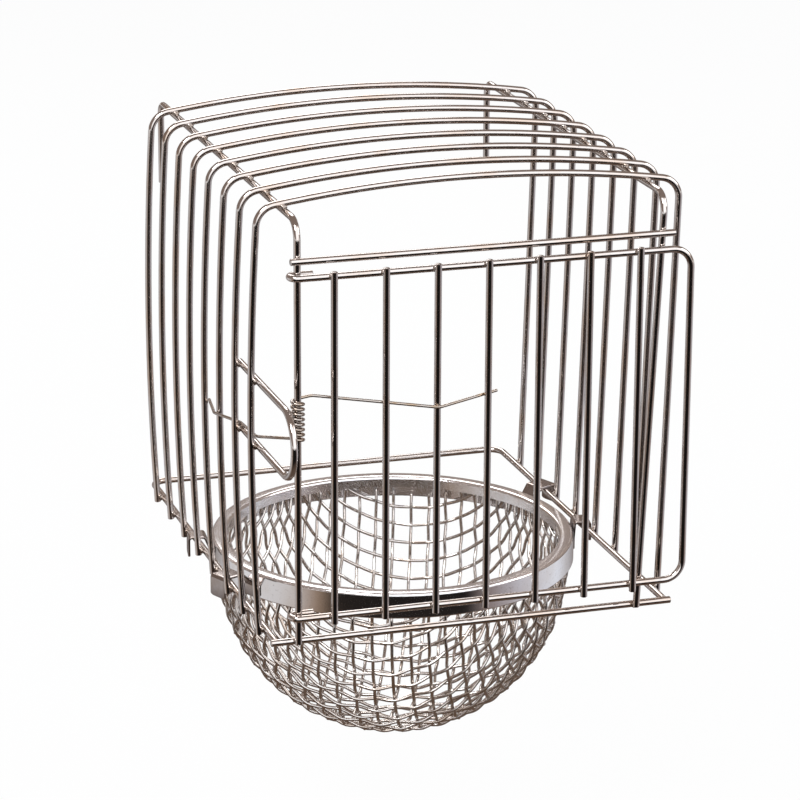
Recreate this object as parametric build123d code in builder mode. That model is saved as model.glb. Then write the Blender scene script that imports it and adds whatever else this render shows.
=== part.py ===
"""Hang-on wire nest for cage birds: a house of wire hoops with a sprung door and a woven nest bowl.

Frame: X to the right seen from the door, Y towards the cage it hangs on, Z up. The origin lies midway
between the two hanging hooks, where the underside of the hook wires meets the inner face of their tails.
All sizes are in millimetres.
"""

import os
from math import acos, asin, atan2, cos, degrees, hypot, pi, radians, sin, sqrt

from build123d import *

os.makedirs("parts", exist_ok=True)

# Wire and welds
WIRE = 1.8                  # diameter of the frame and door wire
WIRE_SIDES = 8              # flats round a frame or door wire
WELD_GAP = 0.02             # left between two wires that are welded where they cross

# Hoops
HOOP_COUNT = 8
HOOP_PITCH = 15.44
LEG_LEAN = 3.6              # degrees that a bowed left leg leans at its foot and at its shoulder
RIGHT_LEG_LEAN = 1.6        # degrees that a straight right leg leans in at its foot
CROWN_RADIUS = 340.0
SHOULDER_RADIUS = 5.5
BODY_HEIGHT = 115.3         # floor wire to hoop crown
FOOT_TAIL = 1.2             # leg end below the floor wire's centre

# Hook wires with their hooks and front posts
HOOK_SPREAD = 96.4          # between the two hook wires
HOOK_DEPTH = 17.0           # hook tail's inner face to the rear hoop's centre
HOOK_DROP = 22.0            # length of a tail below the hook wire's underside
HOOK_BEND = 3.5
POST_STEP = 12.0            # front posts ahead of the front hoop
POST_BEND = 5.0
POST_FOOT = 0.3             # post end below the floor wire's centre
RIGHT_POST_TOE = 5.0        # foot of the right post, inward of its top

# Floor wires
CAGE_WIRE = 2.0             # wire of the cage between the hook tails and the floor's rear wire
FLOOR_BEND = 4.0
FLOOR_ROOM = 3.5            # between the bowl's rim and the centre of the floor wire, on the left
RIGHT_FLOOR_ROOM = 2.0      # the same on the right
CROSS_OVERHANG = 1.5        # front cross wire past the centre of the floor wire

# Door
DOOR_WIDTH = 103.2          # hinge axis to the stile
DOOR_SILL = 7.2             # bottom rail above the floor wire
DOOR_BEND = 5.0
EYE_CLEARANCE = 0.1         # between a hinge eye and the post
EYE_TAIL = 4.5
BAR_COUNT = 7
BAR_FIRST = 8.4             # hinge axis to the first bar
BAR_PITCH = 13.4
BAR_END = 1.6               # bar past the centre of each rail
TOP_BAR_DROP = 9.6          # cross bar below the hook wires
TOP_BAR_OVERHANG = 2.3      # cross bar past the centre of each post
DOOR_GAP = 4.3              # top rail below the cross bar

# Door stop loop
LOOP_WIDTH = 17.1
LOOP_CENTRE = 58.0          # above the floor wire
LOOP_REACH = 33.0           # tip ahead of the front hoop
LOOP_END = 2.2              # arm past the second leg

# Torsion spring
SPRING_WIRE = 0.8
SPRING_SIDES = 6
SPRING_PITCH = 1.32
SPRING_TURNS = 7            # whole turns, besides the part turn between the two arms
SPRING_CLEARANCE = 0.15     # between coil and post
SPRING_FOOT = 54.0          # start of the coil above the floor wire
ARM_GAP = 0.15              # between a spring arm and the bars that it is woven through
ARM_BEND = 4.0
ARM_LEAD = 4.0              # straight run where an arm leaves the coil
ARM_TIP = 3.2               # arm past the last bar that holds it
ARM_SAG = 3.4               # right arm's drop from the coil to the third bar
ARM_RISE = 1.6              # right arm's rise from the third bar to the fourth
LEFT_ARM_FALL = (1.0, 2.9, 4.8)     # left arm below its height at the front leg, leg by leg

# Nest bowl
RIM_DIAMETER = 100.0
RIM_HEIGHT = 7.0
RIM_SHEET = 0.5
HEM_SIDES = 4               # flats across the fold of the hem
RIM_LIP = 3.2               # height of the inner fold
RIM_RISE = 0.3              # rim's top above the floor wire's centre
BOWL_STATION = 4            # hoop over the middle of the bowl
BOWL_SINK = 7.4             # centre of the half sphere below the rim's top
MESH_COUNT = 29             # wires each way, odd, so that one passes through the bottom
MESH_WIRE = 0.9
MESH_CLEARANCE = 0.06       # between two mesh wires where they cross
MESH_TUCK = 5.2             # mesh edge above the half sphere's equator, inside the hem
MESH_TURN = -24.0           # degrees that the cloth is turned against the frame
HEM_CLEARANCE = 0.35        # between hem and mesh

# Ears
EAR_ANGLES = {"right_rear": 23.6, "right_front": -10.0, "left_front": 203.6, "left_rear": 170.0}
EAR_WIDTH = 6.0
EAR_SHEET = 0.6
EAR_SEAT = 0.05             # between ear and floor wire
EAR_TAB = 3.4               # flat part that lies on the band
EAR_SLACK = 0.4             # between the floor wire and the ear's legs
EAR_DROP = 5.6              # outer leg, below the ear's top
EAR_BEND = 0.8

# Heights and stations worked out from the sizes above
hook_x = HOOK_SPREAD / 2
hook_z = WIRE / 2
roof_slope = asin(hook_x / CROWN_RADIUS)
crown_z = hook_z + (WIRE + WELD_GAP) / cos(roof_slope) + CROWN_RADIUS * (1 - cos(roof_slope))
floor_z = crown_z - BODY_HEIGHT
rear_hoop_y = -HOOK_DEPTH
front_hoop_y = rear_hoop_y - (HOOP_COUNT - 1) * HOOP_PITCH
post_y = front_hoop_y - POST_STEP
cross_y = post_y + WIRE + WELD_GAP
floor_x = RIM_DIAMETER / 2 + FLOOR_ROOM
right_floor_x = RIM_DIAMETER / 2 + RIGHT_FLOOR_ROOM
foot_x = floor_x + (WIRE + WELD_GAP) / cos(radians(LEG_LEAN))
right_foot_x = right_floor_x + (WIRE + WELD_GAP) / cos(radians(RIGHT_LEG_LEAN))
rear_wire_y = -CAGE_WIRE - WIRE / 2

# Left legs: a shallow arc from the floor to the shoulder
crown_half = asin((foot_x - SHOULDER_RADIUS * cos(radians(LEG_LEAN))) / (CROWN_RADIUS - SHOULDER_RADIUS))
shoulder_z = (
    crown_z
    - CROWN_RADIUS * (1 - cos(crown_half))
    - SHOULDER_RADIUS * (cos(crown_half) - sin(radians(LEG_LEAN)))
)
leg_radius = (shoulder_z - floor_z) / 2 / sin(radians(LEG_LEAN))
leg_middle_z = (shoulder_z + floor_z) / 2

# Right legs: a straight line from the floor that is tangent to the shoulder
right_lean = radians(RIGHT_LEG_LEAN)
centre_drop = CROWN_RADIUS - BODY_HEIGHT
right_reach = right_foot_x * cos(right_lean) - centre_drop * sin(right_lean) - SHOULDER_RADIUS
right_crown_half = right_lean + asin(right_reach / (CROWN_RADIUS - SHOULDER_RADIUS))

# Door
eye_radius = WIRE + EYE_CLEARANCE
rail_y = post_y - eye_radius
bar_y = rail_y - WIRE - WELD_GAP
top_bar_z = hook_z - TOP_BAR_DROP
head_z = top_bar_z - DOOR_GAP
sill_z = floor_z + DOOR_SILL

# Bowl
mesh_side = MESH_WIRE * sqrt(pi) / 2
mesh_wave = (mesh_side * sqrt(2) + MESH_CLEARANCE) / 2
hem_width = 2 * (RIM_SHEET + HEM_CLEARANCE + mesh_side * sqrt(2)) + MESH_CLEARANCE
mesh_radius = RIM_DIAMETER / 2 - hem_width / 2
rim_top_z = floor_z + RIM_RISE
bowl_z = rim_top_z - BOWL_SINK


def hoop_y(number):
    """Station of a hoop, counted from 1 at the rear."""
    return rear_hoop_y - (number - 1) * HOOP_PITCH


def leg_x(z):
    """Distance of a left leg's centre from the middle plane at a height."""
    return foot_x + sqrt(leg_radius**2 - (z - leg_middle_z) ** 2) - leg_radius * cos(radians(LEG_LEAN))


def save(part, label):
    """Name a finished piece and write it."""
    part.label = label
    export_step(part, f"parts/{label}.step")


def bent_wire(route, diameter=WIRE, sides=WIRE_SIDES):
    """Wire along a route of lines and tangent arcs, its corners on the drawn diameter."""
    with BuildPart() as wire:
        with BuildSketch(Plane(origin=route @ 0, z_dir=route % 0)):
            RegularPolygon(diameter / 2, sides)
        sweep(path=route)
    return wire.part


def straight_wire(start, end):
    """Straight frame wire between two points."""
    with BuildLine() as route:
        Line(start, end)
    return bent_wire(route.wire())


# Hoops: foot, bowed leg, shoulder, crown, shoulder, straight leg
left_turn = 90 - LEG_LEAN - degrees(crown_half)
right_turn = 90 + RIGHT_LEG_LEAN - degrees(right_crown_half)
crown_turn = degrees(crown_half + right_crown_half)
foot_direction = (-sin(radians(LEG_LEAN)), cos(radians(LEG_LEAN)))
for number in range(1, HOOP_COUNT + 1):
    with BuildLine(Plane.XZ.offset(-hoop_y(number))) as hoop_route:
        left_leg = JernArc((-foot_x, floor_z), foot_direction, leg_radius, -2 * LEG_LEAN)
        left_shoulder = JernArc(left_leg @ 1, left_leg % 1, SHOULDER_RADIUS, -left_turn)
        crown = JernArc(left_shoulder @ 1, left_shoulder % 1, CROWN_RADIUS, -crown_turn)
        right_shoulder = JernArc(crown @ 1, crown % 1, SHOULDER_RADIUS, -right_turn)
        right_length = ((right_shoulder @ 1).Z - floor_z) / cos(right_lean) + FOOT_TAIL
        Line((left_leg @ 0) - (left_leg % 0) * FOOT_TAIL, left_leg @ 0)
        Line(right_shoulder @ 1, (right_shoulder @ 1) + (right_shoulder % 1) * right_length)
    save(bent_wire(hoop_route.wire()), f"hoop_{number}")

# Hook wires: tail, hook, run under the hoops, front post
for side, direction, toe in (("left", -1, 0), ("right", 1, RIGHT_POST_TOE)):
    x = direction * hook_x
    with BuildLine() as hook_route:
        FilletPolyline(
            (x, WIRE / 2, -HOOK_DROP),
            (x, WIRE / 2, hook_z),
            (x, post_y, hook_z),
            (x - direction * toe, post_y, floor_z - POST_FOOT),
            radius=(HOOK_BEND, POST_BEND),
        )
    save(bent_wire(hook_route.wire()), f"{side}_hook_wire")

# Floor wire, open at the front, its ends butted on the front cross wire
floor_end_y = cross_y + WIRE / 2 + WELD_GAP
with BuildLine() as floor_route:
    FilletPolyline(
        (-floor_x, floor_end_y, floor_z),
        (-floor_x, rear_wire_y, floor_z),
        (right_floor_x, rear_wire_y, floor_z),
        (right_floor_x, floor_end_y, floor_z),
        radius=FLOOR_BEND,
    )
save(bent_wire(floor_route.wire()), "base_wire")

# Straight wires across the front, under and above the door
cross_left = (-floor_x - CROSS_OVERHANG, cross_y, floor_z)
cross_right = (right_floor_x + CROSS_OVERHANG, cross_y, floor_z)
save(straight_wire(cross_left, cross_right), "front_cross_wire")
top_bar_y = post_y - WIRE - WELD_GAP
top_bar_half = hook_x + TOP_BAR_OVERHANG
top_bar = straight_wire((-top_bar_half, top_bar_y, top_bar_z), (top_bar_half, top_bar_y, top_bar_z))
save(top_bar, "top_cross_bar")

# Door stop loop on the inside of the two front left legs
loop_top_z = floor_z + LOOP_CENTRE + LOOP_WIDTH / 2
loop_bottom_z = loop_top_z - LOOP_WIDTH
loop_x = -min(leg_x(loop_top_z), leg_x(loop_bottom_z)) + WIRE + WELD_GAP
loop_rear_y = hoop_y(HOOP_COUNT - 1) + LOOP_END
loop_bend_y = front_hoop_y - LOOP_REACH + LOOP_WIDTH / 2
with BuildLine() as loop_route:
    Line((loop_x, loop_rear_y, loop_top_z), (loop_x, loop_bend_y, loop_top_z))
    ThreePointArc(
        (loop_x, loop_bend_y, loop_top_z),
        (loop_x, front_hoop_y - LOOP_REACH, loop_top_z - LOOP_WIDTH / 2),
        (loop_x, loop_bend_y, loop_bottom_z),
    )
    Line((loop_x, loop_bend_y, loop_bottom_z), (loop_x, loop_rear_y, loop_bottom_z))
save(bent_wire(loop_route.wire()), "door_stop_loop")

# Door frame: eye, top rail, stile, bottom rail, eye
hinge_x = -hook_x
stile_x = hinge_x + DOOR_WIDTH
with BuildLine() as door_route:
    for height in (head_z, sill_z):
        Line((hinge_x + EYE_TAIL, post_y + eye_radius, height), (hinge_x, post_y + eye_radius, height))
        ThreePointArc(
            (hinge_x, post_y + eye_radius, height),
            (hinge_x - eye_radius, post_y, height),
            (hinge_x, rail_y, height),
        )
    FilletPolyline(
        (hinge_x, rail_y, head_z),
        (stile_x, rail_y, head_z),
        (stile_x, rail_y, sill_z),
        (hinge_x, rail_y, sill_z),
        radius=DOOR_BEND,
    )
save(bent_wire(door_route.wire()), "door_frame")

# Door bars on the outside of the rails
bar_stations = [hinge_x + BAR_FIRST + place * BAR_PITCH for place in range(BAR_COUNT)]
for number, x in enumerate(bar_stations, start=1):
    save(straight_wire((x, bar_y, sill_z - BAR_END), (x, bar_y, head_z + BAR_END)), f"door_bar_{number}")

# Torsion spring: left arm through the hoop legs, coil round the post, right arm through the door bars
coil_radius = WIRE / 2 + SPRING_CLEARANCE + SPRING_WIRE / 2
arm_offset = WIRE / 2 + SPRING_WIRE / 2 + ARM_GAP
coil_slope = SPRING_PITCH / (2 * pi * coil_radius)
coil_start_z = floor_z + SPRING_FOOT
front_leg_x = -leg_x(coil_start_z) + arm_offset
arm_reach = hypot(front_leg_x - hinge_x, front_hoop_y - post_y)
start_angle = atan2(front_hoop_y - post_y, front_leg_x - hinge_x) - acos(coil_radius / arm_reach)
turn_angle = 2 * pi * SPRING_TURNS + 1.5 * pi + start_angle


def coil_point(turned):
    """Point on the coil after a turn in radians, clockwise seen from above."""
    angle = start_angle - turned
    height = coil_start_z + SPRING_PITCH * turned / (2 * pi)
    return Vector(hinge_x + coil_radius * cos(angle), post_y + coil_radius * sin(angle), height)


def coil_tangent(turned):
    """Direction of the coil there."""
    angle = start_angle - turned
    return Vector(sin(angle), -cos(angle), coil_slope).normalized()


def biarc_joint(start, start_direction, end, end_direction):
    """Point where two arcs meet that join two points along the given directions."""
    chord = end - start
    directions = start_direction + end_direction
    square = 2 * (start_direction.dot(end_direction) - 1)
    half = chord.dot(directions)
    reach = (half - sqrt(half**2 - square * chord.dot(chord))) / square
    return (start + end + (start_direction - end_direction) * reach) / 2


front_leg_z = coil_start_z - coil_slope * sqrt(arm_reach**2 - coil_radius**2)
left_arm = [coil_point(0) - coil_tangent(0) * sqrt(arm_reach**2 - coil_radius**2) * sqrt(1 + coil_slope**2)]
for place, fall in enumerate(LEFT_ARM_FALL, start=1):
    weave = arm_offset if place != 2 else -arm_offset
    arm_z = front_leg_z - fall
    left_arm.append(Vector(-leg_x(arm_z) + weave, front_hoop_y + place * HOOP_PITCH, arm_z))
left_arm.append(left_arm[-1] + (left_arm[-1] - left_arm[-2]).normalized() * ARM_TIP)

coil_top = coil_point(turn_angle)
arm_lead = coil_top + coil_tangent(turn_angle) * ARM_LEAD
right_arm = [coil_top, arm_lead]
for station, weave, drop in ((1, 1, ARM_SAG / 2), (2, -1, ARM_SAG), (3, 1, ARM_SAG - ARM_RISE)):
    right_arm.append(Vector(bar_stations[station], bar_y + weave * arm_offset, coil_top.Z - drop))
right_arm.append(right_arm[-1] + (right_arm[-1] - right_arm[-2]).normalized() * ARM_TIP)

half_turns = round(turn_angle / pi)
with BuildLine() as spring_route:
    FilletPolyline(*reversed([coil_point(0)] + left_arm[:-2] + [left_arm[-1]]), radius=ARM_BEND)
    for step in range(half_turns):
        begin = turn_angle * step / half_turns
        finish = turn_angle * (step + 1) / half_turns
        joint = biarc_joint(coil_point(begin), coil_tangent(begin), coil_point(finish), coil_tangent(finish))
        first_arc = TangentArc(coil_point(begin), joint, tangent=coil_tangent(begin))
        TangentArc(joint, coil_point(finish), tangent=first_arc % 1)
    FilletPolyline(*right_arm[:-2], right_arm[-1], radius=ARM_BEND)
spring_wire = spring_route.wire()
save(bent_wire(spring_wire, SPRING_WIRE, SPRING_SIDES), "torsion_spring")

samples = [spring_wire @ (place / 900) for place in range(901)]
spacing = spring_wire.length / 900
skip = round(pi * coil_radius / spacing)
self_gap = min(
    (samples[first] - samples[second]).length
    for first in range(901)
    for second in range(first + skip, 901)
)
print(f"spring: {turn_angle / (2 * pi):.2f} turns, least gap to itself {self_gap - SPRING_WIRE:.2f} mm")

# Nest bowl: rim band with the hem that holds the mesh
bowl_y = hoop_y(BOWL_STATION)
rim_radius = RIM_DIAMETER / 2
hem_z = rim_top_z - hem_width / 2


def hem_fold(radius):
    """Corners of the fold over the mesh edge, from outside to inside."""
    corners = [pi * corner / HEM_SIDES for corner in range(HEM_SIDES + 1)]
    return [(mesh_radius + radius * cos(angle), hem_z + radius * sin(angle)) for angle in corners]


with BuildPart() as rim_band:
    with BuildSketch(Plane.XZ.offset(-bowl_y)):
        with BuildLine():
            Polyline(
                (rim_radius, rim_top_z - RIM_HEIGHT),
                *hem_fold(hem_width / 2),
                (rim_radius - hem_width, rim_top_z - RIM_LIP),
                (rim_radius - hem_width + RIM_SHEET, rim_top_z - RIM_LIP),
                *reversed(hem_fold(hem_width / 2 - RIM_SHEET)),
                (rim_radius - RIM_SHEET, rim_top_z - RIM_HEIGHT),
                close=True,
            )
        make_face()
    revolve(axis=Axis((0, bowl_y, 0), (0, 0, 1)))
save(rim_band.part, "rim_band")

# Woven cloth: a net with equal sides drawn on the sphere, as wire cloth shears when it is pressed to a bowl.
# Each next knot is the mirror image of the one before it in the plane through the sphere's centre and its
# two neighbours, which keeps both sides of the mesh at their length.
mesh_step = pi / MESH_COUNT
mesh_half = MESH_COUNT // 2
net_size = mesh_half + 2
net = {}
for place in range(net_size + 1):
    along = mesh_radius * sin(place * mesh_step)
    below = -mesh_radius * cos(place * mesh_step)
    net[place, 0] = Vector(along, 0, below)
    net[0, place] = Vector(0, along, below)
for row in range(1, net_size + 1):
    for column in range(1, net_size + 1):
        mirror = net[row - 1, column].cross(net[row, column - 1]).normalized()
        corner = net[row - 1, column - 1]
        net[row, column] = corner - mirror * (2 * corner.dot(mirror))


def knot(row, column, lift):
    """Crossing of two mesh wires, lifted from the middle surface by the weave."""
    place = net[abs(row), abs(column)]
    turned = Vector(place.X if row >= 0 else -place.X, place.Y if column >= 0 else -place.Y, place.Z)
    return turned * (1 + lift / mesh_radius)


def mesh_route(row, across):
    """Knots of one mesh wire from edge to edge of the cloth, cut off at the edge height."""
    knots = []
    for column in range(-net_size, net_size + 1):
        lift = mesh_wave if (row + column + across) % 2 else -mesh_wave
        knots.append(knot(column, row, lift) if across else knot(row, column, lift))
    inside = [place for place, point in enumerate(knots) if point.Z < MESH_TUCK]
    first, last = inside[0], inside[-1]
    ends = []
    for inner, outer in ((knots[first], knots[first - 1]), (knots[last], knots[last + 1])):
        ends.append(inner + (outer - inner) * ((MESH_TUCK - inner.Z) / (outer.Z - inner.Z)))
    return [ends[0], *knots[first : last + 1], ends[1]]


def mesh_wire(knots):
    """Faceted wire through its knots, square in section and on edge, with the round wire's area."""
    with BuildPart() as wire:
        for place, point in enumerate(knots):
            before = knots[max(place - 1, 0)]
            after = knots[min(place + 1, len(knots) - 1)]
            with BuildSketch(Plane(origin=point, x_dir=point, z_dir=after - before)):
                Rectangle(mesh_side, mesh_side, rotation=45)
        loft(ruled=True)
    return wire.part


bowl_place = Pos(0, bowl_y, bowl_z) * Rot(0, 0, MESH_TURN)
for label, across in (("mesh_warp", 0), ("mesh_weft", 1)):
    wires = [bowl_place * mesh_wire(mesh_route(row, across)) for row in range(-mesh_half, mesh_half + 1)]
    save(Compound(wires), label)

# Ears: a bent strip with its flat tab on the band, a level part over the floor wire and a leg outside it
ear_z = floor_z + WIRE / 2 + EAR_SEAT + EAR_SHEET / 2
tab_radius = rim_radius + WELD_GAP + EAR_SHEET / 2
tab_foot_z = rim_top_z - RIM_HEIGHT
for name, angle in EAR_ANGLES.items():
    outward = Vector(cos(radians(angle)), sin(radians(angle)), 0)
    sideways = Vector(sin(radians(angle)), -cos(radians(angle)), 0)
    wire_radius = (right_floor_x if outward.X > 0 else floor_x) / abs(outward.X)
    half_width = EAR_WIDTH / 2 * abs(outward.Y / outward.X)
    ear_reach = (WIRE / 2 + EAR_SLACK) / abs(outward.X) + half_width + EAR_SHEET / 2
    with BuildLine(Plane(origin=(0, bowl_y, 0), x_dir=outward, z_dir=sideways)) as ear_route:
        FilletPolyline(
            (tab_radius, tab_foot_z),
            (tab_radius, tab_foot_z + EAR_TAB),
            (wire_radius - ear_reach, ear_z),
            (wire_radius + ear_reach, ear_z),
            (wire_radius + ear_reach, ear_z - EAR_DROP),
            radius=EAR_BEND,
        )
    strip = ear_route.wire()
    with BuildPart() as ear:
        with BuildSketch(Plane(origin=strip @ 0, x_dir=outward, z_dir=strip % 0)):
            Rectangle(EAR_SHEET, EAR_WIDTH)
        sweep(path=strip)
    save(ear.part, f"ear_{name}")

print(f"floor at {floor_z:.2f}, front posts at {post_y:.2f}, bowl at {bowl_y:.2f}, {bowl_z:.2f}")
print(f"rails at {rail_y:.2f}, bars at {bar_y:.2f}, loop plane {loop_x:.2f}")
print(f"coil from {coil_start_z:.2f} to {coil_top.Z:.2f}, hem {hem_width:.2f} wide")
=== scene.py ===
# %% [markdown]
# # A hang-on wire nest for cage birds
# The nest is a little house of bright plated wire. Two hooks at the open rear hang it on a cage, a sprung
# door closes the front, and a bowl of woven wire cloth sits in the floor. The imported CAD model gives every
# size and every moving body. This lesson dresses it: each bent wire is drawn again as a truly round one, the
# cloth is woven, the welds are added, and plated steel is made from nodes.

import random
from math import acos, asin, atan2, cos, degrees, pi, radians, sin, sqrt, tan

import bmesh
import bpy
from mathutils import Matrix, Quaternion, Vector, noise


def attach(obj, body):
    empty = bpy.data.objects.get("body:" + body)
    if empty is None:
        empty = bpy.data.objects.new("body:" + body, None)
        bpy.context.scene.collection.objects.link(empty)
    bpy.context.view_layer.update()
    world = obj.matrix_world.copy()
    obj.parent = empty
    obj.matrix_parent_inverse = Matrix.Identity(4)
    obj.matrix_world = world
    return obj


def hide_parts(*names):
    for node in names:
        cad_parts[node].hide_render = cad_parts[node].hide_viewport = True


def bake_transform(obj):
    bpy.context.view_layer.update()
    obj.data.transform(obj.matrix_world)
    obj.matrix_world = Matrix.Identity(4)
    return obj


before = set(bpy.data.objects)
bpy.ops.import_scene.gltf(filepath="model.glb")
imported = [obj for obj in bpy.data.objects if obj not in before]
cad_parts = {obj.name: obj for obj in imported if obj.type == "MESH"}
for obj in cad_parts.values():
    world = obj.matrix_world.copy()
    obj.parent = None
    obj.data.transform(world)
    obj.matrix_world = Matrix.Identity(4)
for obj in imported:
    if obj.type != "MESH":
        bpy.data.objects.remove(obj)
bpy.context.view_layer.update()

# %% [markdown]
# ## Sizes
# A scene that stands beside a CAD model repeats its sizes, because it can't read the model's source. They are
# kept in millimetres, as a wire worker would write them, and turned into metres only when a mesh is made.

# %% Sizes of the house
MM = 0.001
WIRE = 1.8
WELD_GAP = 0.02
HOOP_COUNT = 8
HOOP_PITCH = 15.44
LEG_LEAN = 3.6
RIGHT_LEG_LEAN = 1.6
CROWN_RADIUS = 340.0
SHOULDER_RADIUS = 5.5
BODY_HEIGHT = 115.3
FOOT_TAIL = 1.2
HOOK_X = 48.2
HOOK_DEPTH = 17.0
HOOK_DROP = 22.0
HOOK_BEND = 3.5
POST_STEP = 12.0
POST_BEND = 5.0
POST_FOOT = 0.3
RIGHT_POST_TOE = 5.0
RIM_RADIUS = 50.0
FLOOR_ROOM = 3.5
RIGHT_FLOOR_ROOM = 2.0

HOOK_Z = WIRE / 2
ROOF_SLOPE = asin(HOOK_X / CROWN_RADIUS)
CROWN_Z = HOOK_Z + (WIRE + WELD_GAP) / cos(ROOF_SLOPE) + CROWN_RADIUS * (1 - cos(ROOF_SLOPE))
FLOOR_Z = CROWN_Z - BODY_HEIGHT
FRONT_HOOP_Y = -HOOK_DEPTH - (HOOP_COUNT - 1) * HOOP_PITCH
POST_Y = FRONT_HOOP_Y - POST_STEP
CROSS_Y = POST_Y + WIRE + WELD_GAP
FLOOR_X = RIM_RADIUS + FLOOR_ROOM
RIGHT_FLOOR_X = RIM_RADIUS + RIGHT_FLOOR_ROOM
FOOT_X = FLOOR_X + (WIRE + WELD_GAP) / cos(radians(LEG_LEAN))
RIGHT_FOOT_X = RIGHT_FLOOR_X + (WIRE + WELD_GAP) / cos(radians(RIGHT_LEG_LEAN))
print(f"floor at {FLOOR_Z:.2f} mm, front posts at {POST_Y:.2f} mm")

# %% [markdown]
# ## Shader maths that reads like maths
# Finishes are built from nodes. Wrapping a socket in a small class lets an expression such as
# `0.1 + 0.2 * streaks` add its own Math nodes, so a finish reads as a formula. Every other node comes from
# one method that takes the node's type, its settings and what feeds its sockets.


# %% A socket that can be added and multiplied
class Tap:
    """A node's output, ready for sums."""

    def __init__(self, finish, socket):
        self.finish = finish
        self.socket = socket

    def sum_node(self, operation, first, second):
        return self.finish.node("Math", {"operation": operation}, {0: first, 1: second})

    def __add__(self, other):
        return self.sum_node("ADD", self, other)

    def __radd__(self, other):
        return self.sum_node("ADD", other, self)

    def __mul__(self, other):
        return self.sum_node("MULTIPLY", self, other)

    def __rmul__(self, other):
        return self.sum_node("MULTIPLY", other, self)


print("sums on sockets ready")


# %% A finish that is built from nodes
class Finish:
    """A node tree with one method that adds any node."""

    def __init__(self, tree):
        self.tree = tree
        self.tree.nodes.clear()

    def node(self, kind, settings=None, links=None, out=0):
        made = self.tree.nodes.new("ShaderNode" + kind)
        for name, value in (settings or {}).items():
            setattr(made, name, value)
        for name, value in (links or {}).items():
            if isinstance(value, Tap):
                self.tree.links.new(value.socket, made.inputs[name])
            else:
                made.inputs[name].default_value = value
        return Tap(self, made.outputs[out]) if made.outputs else made

    def mixed(self, mask, first, second):
        settings = {"data_type": "RGBA", "clamp_factor": True}
        return self.node("Mix", settings, {0: mask, 6: first, 7: second}, out=2)

    def stretched(self, mask, low, high):
        return self.node("MapRange", {"clamp": True}, {0: mask, 1: low, 2: high})

    def either(self, first, second):
        return self.node("Math", {"operation": "MAXIMUM"}, {0: first, 1: second})

    def ray(self, kind):
        return self.node("LightPath", out=f"Is {kind} Ray")


print("shader helpers ready")

# %% [markdown]
# ## Plated steel
# The wire is drawn steel with a bright nickel coat. Fresh plating is a mirror, but the coat is never even: it
# clouds a little from place to place, is a touch warmer where it is thin, and carries fine pits and draw
# marks. Large soft noise sets the clouds and the warmth, fine noise sets the pits and the roughness.


# %% How a plated coat wanders
CLOUD_EDGES = (0.46, 0.68)
CLOUD_WARMTH = 0.75
CLOUD_DULLNESS = 0.9
PIT_EDGES = (0.60, 0.78)
PIT_SHADE = 0.55
PIT_DULLNESS = 0.18
PIT_RELIEF = 0.12
PIT_DEPTH = 0.04


def plated_finish(name, bright, warm, shade, smooth, rough, cloud_scale, pit_scale):
    """A metal whose colour, gloss and surface wander the way a plated one does."""
    material = bpy.data.materials.new(name)
    material.use_nodes = True
    finish = Finish(material.node_tree)
    place = finish.node("TexCoord", out="Object")
    clouds = finish.node("TexNoise", None, {"Vector": place, "Scale": cloud_scale, "Detail": 3.0})
    pits = finish.node("TexNoise", None, {
        "Vector": place, "Scale": pit_scale, "Detail": 4.0, "Roughness": 0.65,
    })
    thin_coat = finish.stretched(clouds, *CLOUD_EDGES)
    pitted = finish.stretched(pits, *PIT_EDGES)
    colour = finish.mixed(thin_coat * CLOUD_WARMTH, bright, warm)
    colour = finish.mixed(pitted * PIT_SHADE, colour, shade)
    gloss = smooth + (rough - smooth) * clouds * CLOUD_DULLNESS + pitted * PIT_DULLNESS
    surface = finish.node("Bump", None, {
        "Strength": PIT_RELIEF, "Distance": PIT_DEPTH * MM, "Height": pits,
    })
    steel = finish.node("BsdfPrincipled", None, {
        "Base Color": colour, "Metallic": 1.0, "Roughness": gloss, "Normal": surface,
    })
    finish.node("OutputMaterial", None, {"Surface": steel})
    return material


print("one recipe, and each finish below is a helping of it")

# %% Bright nickel and its relatives
frame_nickel = plated_finish(
    "frame_nickel",
    bright=(0.62, 0.58, 0.56, 1), warm=(0.56, 0.45, 0.37, 1), shade=(0.20, 0.15, 0.12, 1),
    smooth=0.05, rough=0.17, cloud_scale=95.0, pit_scale=1500.0,
)
door_nickel = plated_finish(
    "door_nickel",
    bright=(0.62, 0.58, 0.56, 1), warm=(0.56, 0.46, 0.39, 1), shade=(0.20, 0.15, 0.12, 1),
    smooth=0.05, rough=0.16, cloud_scale=120.0, pit_scale=1700.0,
)
spring_steel = plated_finish(
    "spring_steel",
    bright=(0.46, 0.42, 0.39, 1), warm=(0.42, 0.30, 0.19, 1), shade=(0.14, 0.10, 0.07, 1),
    smooth=0.12, rough=0.30, cloud_scale=260.0, pit_scale=2600.0,
)
cloth_nickel = plated_finish(
    "cloth_nickel",
    bright=(0.70, 0.67, 0.65, 1), warm=(0.58, 0.49, 0.42, 1), shade=(0.20, 0.16, 0.13, 1),
    smooth=0.08, rough=0.22, cloud_scale=110.0, pit_scale=2200.0,
)
strip_nickel = plated_finish(
    "strip_nickel",
    bright=(0.90, 0.90, 0.92, 1), warm=(0.82, 0.77, 0.73, 1), shade=(0.24, 0.19, 0.16, 1),
    smooth=0.07, rough=0.24, cloud_scale=70.0, pit_scale=1300.0,
)
# The ears get a darker coat than the band they sit on: painted shade, as they hang in shadow under the floor
# wire.
shaded_ear_nickel = plated_finish(
    "shaded_ear_nickel",
    bright=(0.42, 0.38, 0.37, 1), warm=(0.34, 0.27, 0.22, 1), shade=(0.10, 0.08, 0.07, 1),
    smooth=0.10, rough=0.26, cloud_scale=180.0, pit_scale=1700.0,
)
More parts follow.
